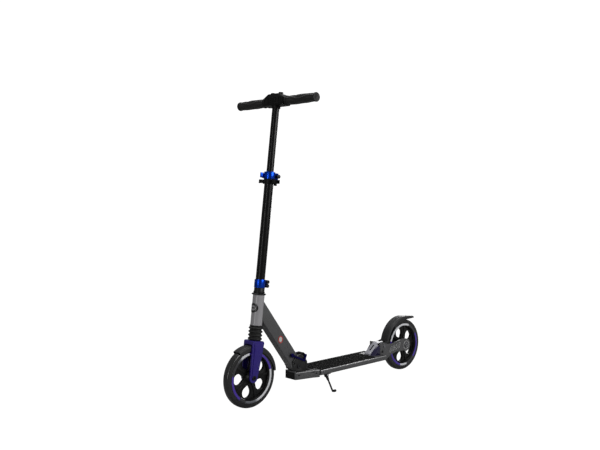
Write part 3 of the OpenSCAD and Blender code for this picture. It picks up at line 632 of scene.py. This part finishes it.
def softened(node, width, segments=2, extra=(), variant=""):
    """A CAD node with its edges broken, and any details added to it."""
    mesh = bevelled(cad_copy(node), width * MM, segments)
    if extra:
        mesh = joined(mesh, *extra)
    return piece(node + "_finished", mesh, SLOTS[node] + variant, BODIES[node], node)


# ---- Wheels ----

HUB_R = half_size("front_hub", "x")
TYRE_R = half_size("front_tyre", "x")
WHEEL_Y = half_size("front_hub", "y")
BAND_R = half_size("front_rim_bands", "x")
BEARING_R = half_size("front_bearings", "x")
OPENINGS = 5


def tyre_mesh():
    """A cast tyre: beads on the rim, a groove over each bead, full sides and a round tread."""
    side = [(HUB_R, WHEEL_Y - 0.2), (BAND_R, WHEEL_Y - 0.2), (BAND_R + 0.5, WHEEL_Y),
            (BAND_R + 2.2, WHEEL_Y), (BAND_R + 2.8, WHEEL_Y - 0.7), (BAND_R + 3.8, WHEEL_Y - 0.7),
            (BAND_R + 4.4, WHEEL_Y - 0.05), (TYRE_R - 9.5, WHEEL_Y - 0.25), (TYRE_R - 7, WHEEL_Y - 0.9)]
    crown = [(TYRE_R - 7 + 7 * sin(a) ** 0.9, (WHEEL_Y - 1.1) * cos(a) ** 0.75)
             for a in (radians(90 * i / 9) for i in range(1, 9))]
    half = side + crown
    return lathe(half + [(TYRE_R, 0)] + [(r, -y) for r, y in half[::-1]], 128)


def opening(grow=0.0, n=20):
    """One opening of the hub, a drop that points at the axle, as the CAD hub has it."""
    core = BEARING_R + 4.5
    tip, outer = 1.5 * core, HUB_R - 13
    r = 0.4 * (outer - tip)
    lean = math.degrees(math.acos(r / (outer - r - tip)))
    round_end = turned(outer - r, 0, r + grow, lean - 180, 180 - lean, n)
    return [(tip - grow / sin(radians(90 - lean)), 0)] + round_end


def spun(points, degrees):
    """Points in X and Z turned about the wheel's axis."""
    c, s = cos(radians(degrees)), sin(radians(degrees))
    return [(x * c - z * s, x * s + z * c) for x, z in points]


def hub_mesh(turn, slot):
    """A moulded five-opening hub: web, lips round the openings, ribs on the spokes, rim and boss."""
    share = 360 / OPENINGS
    rim_in = HUB_R - 10
    web = plate(circle(rim_in + 0.5, n=120), -4.2, 4.2,
                [spun(opening(), turn + share * i) for i in range(OPENINGS)], 1.2)
    lip = plate(spun(opening(1.8), turn), -5.6, 5.6, [spun(opening(), turn)], 0.7)
    lips = repeated(lip, slot, OPENINGS, turn=-radians(share))
    spoke = spun([(17, -3.4), (34, -1.6), (50, -2.2), (rim_in, -6), (rim_in, 6), (50, 2.2), (34, 1.6),
                  (17, 3.4)], turn + share / 2)
    ribs = repeated(plate(spoke, -7.0, 7.0, bevel=1.2), slot, OPENINGS, turn=-radians(share))
    rim = lathe([(HUB_R, -WHEEL_Y), (HUB_R, WHEEL_Y), (HUB_R - 6.5, WHEEL_Y), (HUB_R - 8, WHEEL_Y - 1.2),
                 (rim_in, 8), (rim_in - 1.2, 6), (rim_in - 1.2, -6), (rim_in, -8),
                 (HUB_R - 8, 1.2 - WHEEL_Y), (HUB_R - 6.5, -WHEEL_Y)], 128)
    boss = [(BEARING_R + 0.1, WHEEL_Y - 1), (BEARING_R + 1, WHEEL_Y), (BEARING_R + 3, WHEEL_Y),
            (BEARING_R + 4.5, WHEEL_Y - 1.5), (BEARING_R + 6, 8), (BEARING_R + 10, 5)]
    core = lathe(boss + [(r, -y) for r, y in boss[::-1]], 72)
    return joined(web, lips, ribs, moved(rim, TO_Y), moved(core, TO_Y))


def bands_mesh():
    """The coloured bands on both sides, slightly domed."""
    inner = BAND_R - 8
    section = [(inner, WHEEL_Y - 0.2), (inner + 0.3, WHEEL_Y + 0.6), (inner + 1.2, WHEEL_Y + 0.95),
               (BAND_R - 1.2, WHEEL_Y + 0.95), (BAND_R - 0.3, WHEEL_Y + 0.6), (BAND_R, WHEEL_Y - 0.2)]
    return mirrored(moved(lathe(section, 144), TO_Y))


def bearing_mesh():
    """Sealed bearings: outer race, sunk seal and inner race on both sides."""
    r, y = BEARING_R, WHEEL_Y
    profile = [(r, y - 7), (r, y), (r - 1.4, y), (r - 1.6, y - 0.5), (r - 4.2, y - 0.5), (r - 4.4, y),
               (r - 6.9, y), (r - 6.9, y - 7)]
    return mirrored(moved(lathe(profile, 64), TO_Y))


def build_wheel(end, turn):
    at = centred_on(FRONT if end == "front" else REAR)
    body = end + "_wheel"
    piece(end + "_tyre_cast", tyre_mesh(), "tyre_pu", body, end + "_tyre", at=at @ TO_Y)
    piece(end + "_hub_moulding", hub_mesh(turn, "hub_plastic"), "hub_plastic", body, end + "_hub", at=at)
    piece(end + "_bands", bands_mesh(), "band_print/" + end, body, end + "_rim_bands", at=at)
    piece(end + "_bearing_races", bearing_mesh(), "bare_steel", body, end + "_bearings", at=at)


# ---- Bolts ----

def socket_head(r, height, key=0.5):
    """A domed screw head with a hexagonal socket, from Y 0 out to -height."""
    hexagon = circle(r * key, n=6)
    ring = plate(circle(r, n=36), -height, -height * 0.25, [hexagon], height * 0.22, 3)
    return joined(ring, plate(circle(r * 0.97, n=36), -height * 0.3, 0))


def both_heads(r, height, y):
    """Screw heads on both ends of a bolt along Y."""
    return mirrored(moved(socket_head(r, height), Matrix.Translation((0, -y, 0))))


def build_bolt(node, ending, place, slot, rod_r, head_r, head_h):
    """A through bolt: its rod, with a socket head at both ends."""
    y = half_size(node, "y") - head_h
    bolt = joined(plate(circle(rod_r), -y, y), both_heads(head_r, head_h, y))
    piece(node + ending, bolt, slot, BODIES[node], node, at=centred_on(place))


# ---- Fork, fenders and headset ----

def fender_section(half, corner, depth, thick, crown):
    """Across a fender: (y, height over the outer skin's top), outer side first, then the inner side."""
    def across(h, c, drop):
        side = [(h, -depth), (h, -c - drop)]
        bend = [(h - c + c * cos(a), -c - drop + c * sin(a)) for a in (radians(18 * i) for i in range(1, 6))]
        top = [((h - c) * (1 - t), -drop + crown * (1 - (1 - t) ** 2)) for t in (0.33, 0.66, 1)]
        half_way = side + bend + top
        return half_way + [(-y, z) for y, z in half_way[-2::-1]]
    outer = across(half, corner, 0)
    inner = across(half - thick, corner - thick * 0.6, thick)
    return outer + inner[::-1]


def sweep(path, section):
    """A closed section carried along a path of (x, z, outward x, outward z)."""
    rings = []
    for i, (x, z, nx, nz) in enumerate(path):
        rings.append([(x + nx * d, y, z + nz * d) for y, d in section(i / (len(path) - 1))])
    return grid_solid(rings)


def build_front_fender():
    """A front fender that flares a little at both ends, on its stalk under the crown."""
    axle = TO_STEERING @ FRONT / MM
    half = half_size("front_fender", "y")
    gap, skin, steps = 2.4, 2.5, 60
    r = TYRE_R + gap + skin
    a0, a1 = 5 + LEAN_DEG, 121 + LEAN_DEG
    path = []
    for i in range(steps + 1):
        t = i / steps
        a = radians(a0 + (a1 - a0) * t)
        lift = -1.2 * max(0, 1 - t / 0.12) ** 2
        path.append((axle.x + (r + lift) * cos(a), axle.z + (r + lift) * sin(a), cos(a), sin(a)))

    def section(t):
        depth = 8.5 + 9.5 * min(1, 2.8 * t + 0.15, 0.25 + 4.2 * (1 - t))
        return fender_section(half, corner=6.5, depth=depth, thick=2.1, crown=-0.2)

    stalk = lathe([(0, r - 4), (8, r - 4), (7, r + 1), (7, r + 2.3), (0, r + 2.3)], 40)
    piece("front_fender_shell", joined(sweep(path, section), stalk), "fender_plastic", "fork",
          "front_fender", at=IN_STEERING)


def build_rear_fender():
    """The brake fender: lugs round the pivot, a ribbed channel over the wheel and a straight tail."""
    half = half_size("rear_fender", "y")
    cx, cz, r = REAR_X + 3, REAR_Z + 5, TYRE_R + 7.5
    skin = 2.4
    arc = turned(cx, cz, r, 170, 85, 52)
    path = [(x, z, (x - cx) / r, (z - cz) / r) for x, z in arc]
    over_wheel = path[-1]
    tail = Vector((REAR_X + 61.5, REAR_Z + 110.1))
    start = Vector(arc[-1])
    straight = (tail - start).normalized()
    side = Vector((-straight.y, straight.x))
    for i in range(1, 15):
        p = start.lerp(tail, i / 14)
        n = Vector(over_wheel[2:]).lerp(side, min(1, i / 5)).normalized()
        path.append((p.x, p.y, n.x, n.y))

    def section(t):
        depth = 7.5 + 9 * min(1, 5.5 * t + 0.5) * min(1, max(0, (1 - t) / 0.35))
        narrow = 1 - 0.10 * max(0, (t - 0.78) / 0.22) ** 2
        return fender_section(half * narrow, corner=7 * narrow, depth=depth, thick=skin, crown=-0.4)

    shell = sweep(path, section)
    lug = turned(BRAKE_X, BRAKE_Z, 9, 95, 275, 18)
    lug += turned(REAR_X, REAR_Z, TYRE_R - 7, 163, 128, 20) + turned(cx, cz, r - 4, 133, 166, 16)
    lugs = mirrored(plate(lug, -half, skin - half, [circle(4.1, BRAKE_X, BRAKE_Z)], 0.7))
    rib = turned(cx, cz, r + 0.5, 160, 92, 40) + turned(cx, cz, r - 1, 92, 160, 40)
    ribs = joined(*(plate(rib, y - 0.9, y + 0.9, bevel=0.4) for y in (-9.5, 0, 9.5)))
    piece("rear_fender_shell", joined(shell, lugs, ribs), "fender_plastic", "rear_brake", "rear_fender",
          at=MILLI)


def shortened(ob, low, high):
    """Gives a piece a mesh of its own; the share of its length left at full travel is worked out but not used, so
    the piece is not shortened.
    """
    travel = joint("front_suspension")["range_m"][1] / MM
    (high - low - travel) / (high - low)
    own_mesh(ob)


def build_bellows():
    """A moulded rubber bellows with four soft folds."""
    low, high = steering_span("bellows")
    folds, valley, swell, wall = 4, 19.7, 4.8, 1.4
    inner_r, lip, n = 17, 0.6, 48
    top = high - low

    def radius(h):
        t = h / top * folds
        return valley + swell * (0.5 - 0.5 * cos(2 * pi * t)) ** 0.85

    heights = [top * i / n for i in range(n + 1)]
    outer = [(radius(h), low + h) for h in heights]
    inner = [(radius(h) - wall, low + min(top - lip, max(lip, h))) for h in heights[::-1]]
    profile = [(inner_r, low)] + outer + [(inner_r, high), (inner_r, high - lip)] + inner
    profile.append((inner_r, low + lip))
    ob = piece("bellows_boot", lathe(profile, 72), "grip_rubber", "steerer", "bellows", at=IN_STEERING,
               smooth=60)
    shortened(ob, low, high)


def build_spring():
    """The fork's coil spring."""
    low, high = steering_span("suspension_spring")
    turns, wire, r, sides = 6, 1.5, 8, 12
    rings = []
    for i in range(turns * 24 + 1):
        a = 2 * pi * i / 24
        h = low + wire + (high - low - 2 * wire) * i / (turns * 24)
        rings.append([((r + wire * cos(b)) * cos(a), (r + wire * cos(b)) * sin(a), h + wire * sin(b))
                      for b in (2 * pi * k / sides for k in range(sides))])
    ob = piece("fork_spring", grid_solid(rings), "spring_steel", "steerer", "suspension_spring",
               at=IN_STEERING)
    shortened(ob, low, high)


def build_fork():
    """The fork casting with its edges broken, and a turned collar under the boot."""
    low = steering_span("bellows")[0]
    collar = lathe([(19.5, low - 3), (21.4, low - 3), (21.4, low - 0.4), (20.6, low), (19.5, low)], 72)
    softened("fork", 1.6, 3, [moved(collar, IN_STEERING)])


# ---- Handlebar ----

def build_grip(side):
    """A rubber grip: two flanges, a swelling body and waving ridges along it."""
    node = "grip_right" if side > 0 else "grip_left"
    spread = [(TO_STEERING @ v.co).y / MM * side for v in nodes[node].data.vertices]
    start, stop = min(spread), max(spread)
    length, along = stop - start, 92
    angles = [2 * pi * k / 72 for k in range(72)]
    flange_in, flange_out = 4, 6
    bar_r, end_r, end_wall = 11.15, 9.0, 2.5

    def ridged(t):
        y = t * length
        body = 15.9 - 2.2 * (2 * t - 0.9) ** 2
        if y < flange_in:
            return lambda a: 17.5 if 0.6 < y < 3.4 else 16.8
        if y > length - flange_out:
            return lambda a: 16.0 - max(0, y - length + 1.2) * 1.1
        rise = min(1, (y - flange_in) / 4, (length - flange_out - y) / 4)
        ring = 0.25 * (sin(2 * pi * y / 5.2) > 0.75)
        twist = 2.6 * sin(2 * pi * t * 1.5)
        return lambda a: body + rise * (1.5 * max(0, sin(9 * a + twist)) ** 0.7 - 0.7 + ring)

    def ring_at(y, radius):
        return [(radius(a) * cos(a), side * y, radius(a) * sin(a)) for a in angles]

    rings = [ring_at(start + i / along * length, ridged(i / along)) for i in range(along + 1)]
    inner = [(end_r, stop), (0.02, stop - end_wall), (bar_r, stop - end_wall), (bar_r, start)]
    rings += [ring_at(y, lambda a, r=r: r) for r, y in inner]
    rings.append(rings[0])
    mesh = moved(grid_solid(rings, ends=False), Matrix.Translation((0, 0, BAR_H)))
    piece(node + "_rubber", mesh, "grip_rubber", node, node, at=IN_STEERING, smooth=50)


def triangle_frame(side):
    """The raised three-cornered frame on a shoulder of the T-block's front face."""
    outline = [(side * 49, -8), (side * 49, 9), (side * 28, 22), (side * 22, -8)]
    hole = [(side * 45, -4), (side * 45, 6.5), (side * 30, 15), (side * 27, -4)]
    return plate(outline, -1.0, 1.0, [hole], 0.5)


def build_t_block():
    """The T-block, with ribs and three-cornered frames on both faces, and its two button caps."""
    face_x, button_y = 17.0, 20
    bar = moved(plate(rectangle(-15, 15, -1.1, 1.1), -1.1, 1.1, bevel=0.6), Matrix.Translation((0, 0, -7.5)))
    bars = repeated(bar, "black_plastic", 4, (0, 0, 6.4))
    front = joined(triangle_frame(1), triangle_frame(-1), bars)

    def on_face(x):
        return Matrix.Translation((x, 0, BAR_H)) @ Matrix.Rotation(radians(90), 4, "Z")

    both = joined(moved(front.copy(), on_face(-face_x)), moved(front, on_face(face_x)))
    softened("t_block", 2.2, 3, [moved(both, IN_STEERING)])
    for node, y in (("button_left", -button_y), ("button_right", button_y)):
        high = steering_span(node)[1]
        cap = [(0, high - 11), (4.95, high - 11), (4.95, high - 0.9), (8.2, high - 0.7), (8.8, high + 0.5),
               (8.2, high + 2.6), (5.5, high + 3.3), (0, high + 3.4)]
        piece(node + "_cap", moved(lathe(cap, 48), Matrix.Translation((0, y, 0))), "black_plastic", node,
              node, at=IN_STEERING, smooth=60)


# ---- Deck ----

def build_mat():
    """The grip mat: a rubber sheet with waving ridges across it."""
    low, high = corners_mm("grip_mat")
    pitch, width, tall, wave = 10.5, 4.6, 3.0, 15.0
    base_top = high.z - 2.4
    sheet = plate(rectangle(low.x, high.x, low.z, base_top), low.y, high.y, bevel=0.5)
    half_y = high.y - 2.5
    n = 72
    rings = []
    for i in range(n + 1):
        y = -half_y + 2 * half_y * i / n
        x = low.x + 4.6 + 1.3 * sin(2 * pi * y / wave)
        z = base_top - 0.4
        top = z + tall * (0.85 + 0.15 * cos(4 * pi * y / wave))
        rings.append([(x - width / 2, y, z), (x + width / 2, y, z), (x + width * 0.38, y, top - 0.8),
                      (x + width * 0.18, y, top), (x - width * 0.18, y, top),
                      (x - width * 0.38, y, top - 0.8)])
    count = int((high.x - low.x - 8) / pitch) + 1
    ridges = repeated(grid_solid(rings), "mat_grit", count, (pitch, 0, 0))
    piece("grip_mat_rubber", joined(sheet, ridges), "mat_grit", "deck", "grip_mat", at=MILLI)


def build_deck():
    """The deck extrusion with broken edges, a pale strip along its top edge that is a painted highlight, a lower
    bead and two clips at its front.
    """
    low, high = corners_mm("deck_extrusion")

    def bead(z, tall, out):
        strip = rectangle(low.x + 1, high.x - 1, z, z + tall)
        return mirrored(plate(strip, low.y - out, low.y + 0.5, bevel=0.3))

    softened("deck_extrusion", 1.0, 2, [moved(bead(high.z - 13.5, 0.7, 0.45), MILLI)])
    # A pale strip along the deck's top edge, a painted highlight where the edge catches the light.
    piece("deck_bright_edge", bead(high.z - 2.6, 2.2, 0.6), "deck_paint/edge", "deck", at=MILLI)
    clips = [plate(rectangle(low.x + x, low.x + x + 5, high.z - 10.5, high.z - 3.4),
                   low.y - 1.2, low.y + 0.5, bevel=0.5) for x in (2.5, 13)]
    piece("deck_front_clips", mirrored(joined(*clips)), "bare_steel", "deck", at=MILLI)


def slanted_frame(x, z):
    """A raised frame round one slanted slot of a rear arm."""
    def slot(w, h, r):
        corners = ((1, 1, 0), (-1, 1, 90), (-1, -1, 180), (1, -1, 270))
        points = [p for sx, sz, a in corners
                  for p in turned(sx * (w / 2 - r), sz * (h / 2 - r), r, a, a + 90, 5)]
        return [(x + px + 0.45 * pz, z + pz) for px, pz in points]
    return plate(slot(8.8, 23.6, 3.9), -0.6, 0.6, [slot(6.8, 21.6, 2.9)], 0.25)


def build_rear_arms():
    """The rear arms, with raised frames round their slots and a ring round the axle, both pale as painted
    highlights.
    """
    y = half_size("rear_arms", "y")
    first = moved(slanted_frame(REAR_X - 94, REAR_Z - 4.5), Matrix.Translation((0, -y, 0)))
    frames = repeated(first, "deck_paint", 4, (17, 0, 3))
    ring = plate(circle(17, REAR_X, REAR_Z, 60), -y - 0.8, -y + 1, [circle(15.4, REAR_X, REAR_Z, 60)], 0.4)
    softened("rear_arms", 1.2, 2)
    # The frames and the ring are painted highlights: pale lines on the slot and axle edges.
    piece("rear_arm_bright_lines", mirrored(joined(frames, ring)), "deck_paint/edge", "deck", at=MILLI)


def build_pad():
    """The lever's foot pad, with well rounded edges."""
    softened("step_pad", 1.6, 3)


def oval(a, b, n=48):
    return [(a * cos(2 * pi * i / n), b * sin(2 * pi * i / n)) for i in range(n)]


def wrapped(mesh, height):
    """A flat badge, X across and Y out, bent round the head tube at a height on the steering axis."""
    for v in mesh.vertices:
        x, r, z = v.co
        v.co = (-r * cos(x / r), r * sin(x / r), z + height)
    mesh.flip_normals()
    return mesh


def build_lever():
    """The release lever: a ring round its pin, a slim bar down each side, and a rod for the foot pad."""
    node = "release_lever"
    pin = Vector(joint("release_lever_lift")["pos_m"]) / MM
    low, high = corners_mm(node)
    foot = FOLD / MM + Vector((24, 0, 18))
    rod = FOLD / MM + Vector((31, 0, 36))
    aim = math.degrees(math.atan2(foot.z - pin.z, foot.x - pin.x))
    outline = turned(pin.x, pin.z, 7.2, aim + 24, aim + 336, 32)
    outline += turned(foot.x, foot.z, 3.4, aim - 90, aim + 20, 8)
    outline += [(rod.x + 4.2, rod.z - 1), (rod.x + 2, rod.z + 4), (rod.x - 2, rod.z + 4),
                (rod.x - 4.2, rod.z)]
    outline += [(foot.x - 2.5, foot.z + 5)]
    arm = plate(outline, low.y + 0.1, low.y + 3.9, [circle(4.05, pin.x, pin.z)], 0.9, 3)
    cross = plate(circle(3, rod.x, rod.z), low.y + 2, high.y - 2)
    piece(node + "_arms", joined(mirrored(arm), cross), "anodised_blue/lever", node, node, at=MILLI)
    softened("lever_pin", 0.5, 2, variant="/lever")


def build_nose_trim():
    """A black cap on the nose's front face, which is painted shade that darkens that face, and a pale strip that
    is a painted highlight along the edge that runs back to the deck.
    """
    low, high = corners_mm("nose_base")
    bay = half_size("release_lever", "y") + 1.4
    half = bay - 4.6
    cap = rectangle(-half, half, low.z + 2, high.z - 4.5)
    hole = rectangle(4 - half, half - 4, low.z + 6, high.z - 8.5)
    face = joined(plate(cap, -1.4, 0.6, [hole], 0.5), plate(hole, -0.5, 0.6))
    turn = Matrix.Translation((low.x, 0, 0)) @ Matrix.Rotation(radians(-90), 4, "Z")
    # The cap's black is painted shade on the nose's front face.
    piece("nose_front_cap", moved(face, turn), "black_plastic", "deck", at=MILLI)
    # A pale strip along the nose's top edge, a painted highlight where the edge catches the light.
    edge = [(low.x + 3, bay + 0.4), (FOLD.x / MM - 6, bay + 4.4), (FOLD.x / MM + 50, bay + 18.4),
            (high.x - 8, 53), (high.x - 0.5, 54)]
    z = high.z - 4.6
    rings = [[(x, -y - 0.6, z - 0.9), (x, 0.6 - y, z - 0.9), (x, 0.6 - y, z + 0.9), (x, -y - 0.6, z + 0.9)]
             for x, y in edge]
    piece("nose_bright_edge", mirrored(grid_solid(rings)), "deck_paint/edge", "deck", at=MILLI)


def build_rim():
    """The toothed black rim that backs the fold plates: two scalloped flanges round the pivot."""
    count, per_tooth, r = 14, 6, 40.5
    start, stop = -36, 86
    teeth = []
    for i in range(count * per_tooth + 1):
        a = radians(start + (stop - start) * i / (count * per_tooth))
        reach = r + 1.6 * cos(2 * pi * i / per_tooth)
        teeth.append((reach * cos(a), reach * sin(a)))
    back = turned(0, 0, r - 6, stop, start, 40)
    y = half_size("fold_plates", "y")
    flange = mirrored(plate(teeth + back, -y - 0.9, 0.6 - y, bevel=0.3))
    piece("fold_plate_rims", flange, "plate_steel", "deck", at=centred_on(FOLD))


def build_badges():
    """Plain badges: a red ring round a pale disc on both sides of the neck, an oval ring on the head tube."""
    y = half_size("badges", "y")
    points = [v.co for v in nodes["badges"].data.vertices if abs(v.co.y) > y * MM * 0.97]
    centre = sum(points, Vector()) / len(points) / MM
    at = MILLI @ Matrix.Translation((centre.x, 0, centre.z))
    disc = mirrored(plate(oval(7, 9), -y, 0.3 - y, bevel=0.1))
    ring = mirrored(plate(oval(10.5, 13), -y - 0.35, 0.3 - y, [oval(7.5, 9.6)], 0.15))
    piece("neck_badge_discs", disc, "badge_print", "neck", "badges", at=at)
    piece("neck_badge_rings", ring, "badge_print/red", "neck", "badges", at=at)
    tube_r = half_size("head_tube", "y")
    height = steering_span("head_tube")[0] + 58
    rim = plate(oval(20, 16, 72), tube_r - 0.3, tube_r + 1.2, [oval(12.5, 9, 72)], 0.3)
    bar = plate(oval(9, 2.2), tube_r - 0.3, tube_r + 0.9, bevel=0.3)
    piece("head_badge_ring", joined(wrapped(rim, height), wrapped(bar, height)), "badge_print/black", "neck",
          "badges", at=IN_STEERING)


def build_rest():
    """These pieces keep their CAD shape, with their edges broken by so many millimetres."""
    widths = {"nose_base": 1.4, "fold_plates": 0.7, "kickstand_bracket": 0.5, "kickstand_bolt": 0.5,
              "rear_bridge": 0.8, "wedge_cover": 1.0, "wedge_panels": 0.9, "neck_tube": 1.0,
              "neck_foot": 1.2, "headset_cups": 0.7, "kickstand_foot": 0.6, "brake_pad": 0.6,
              "headset_nut": 0.8, "lower_clamp": 0.9, "clamp_bolts": 0.8, "upper_clamp": 0.9,
              "grip_clip": 0.9, "clamp_lever": 1.0}
    for node, width in widths.items():
        softened(node, width, 3 if width >= 1 else 2)


# ---- Finish ----

add_camera()
add_world()
add_floor()
add_light("side_box", (0.9, -3.4, 1.7), (0, 0, 0.35), (2.2, 1.4), 62)
add_light("front_strip", (-3.3, -0.75, 0.9), (-0.3, 0, 0.6), (0.14, 2.2), 15)
add_light("top_box", (0.2, 0.6, 3.6), (0, 0, 0.3), (2.2, 2.2), 55)
add_light("rear_rim", (2.4, 1.4, 1.2), (0.1, 0, 0.4), (0.8, 1.6), 22)
dress_frame()
build_wheel("front", 36)
build_wheel("rear", 39)
build_bolt("front_axle", "_bolt", FRONT, "black_steel", 4, 7.6, 4)
build_bolt("rear_axle", "_bolt", REAR, "bare_steel", 4, 7.6, 4)
build_bolt("fold_pivot_bolt", "_turned", FOLD, "bare_steel/dark", 5, 7.5, 3)
build_bolt("brake_pivot_bolt", "_turned", BRAKE, "bare_steel", 4, 6.5, 3)
build_fork()
build_front_fender()
build_rear_fender()
build_bellows()
build_spring()
build_grip(1)
build_grip(-1)
build_t_block()
build_mat()
build_deck()
build_rear_arms()
build_pad()
build_badges()
build_rest()
build_lever()
build_rim()
build_nose_trim()
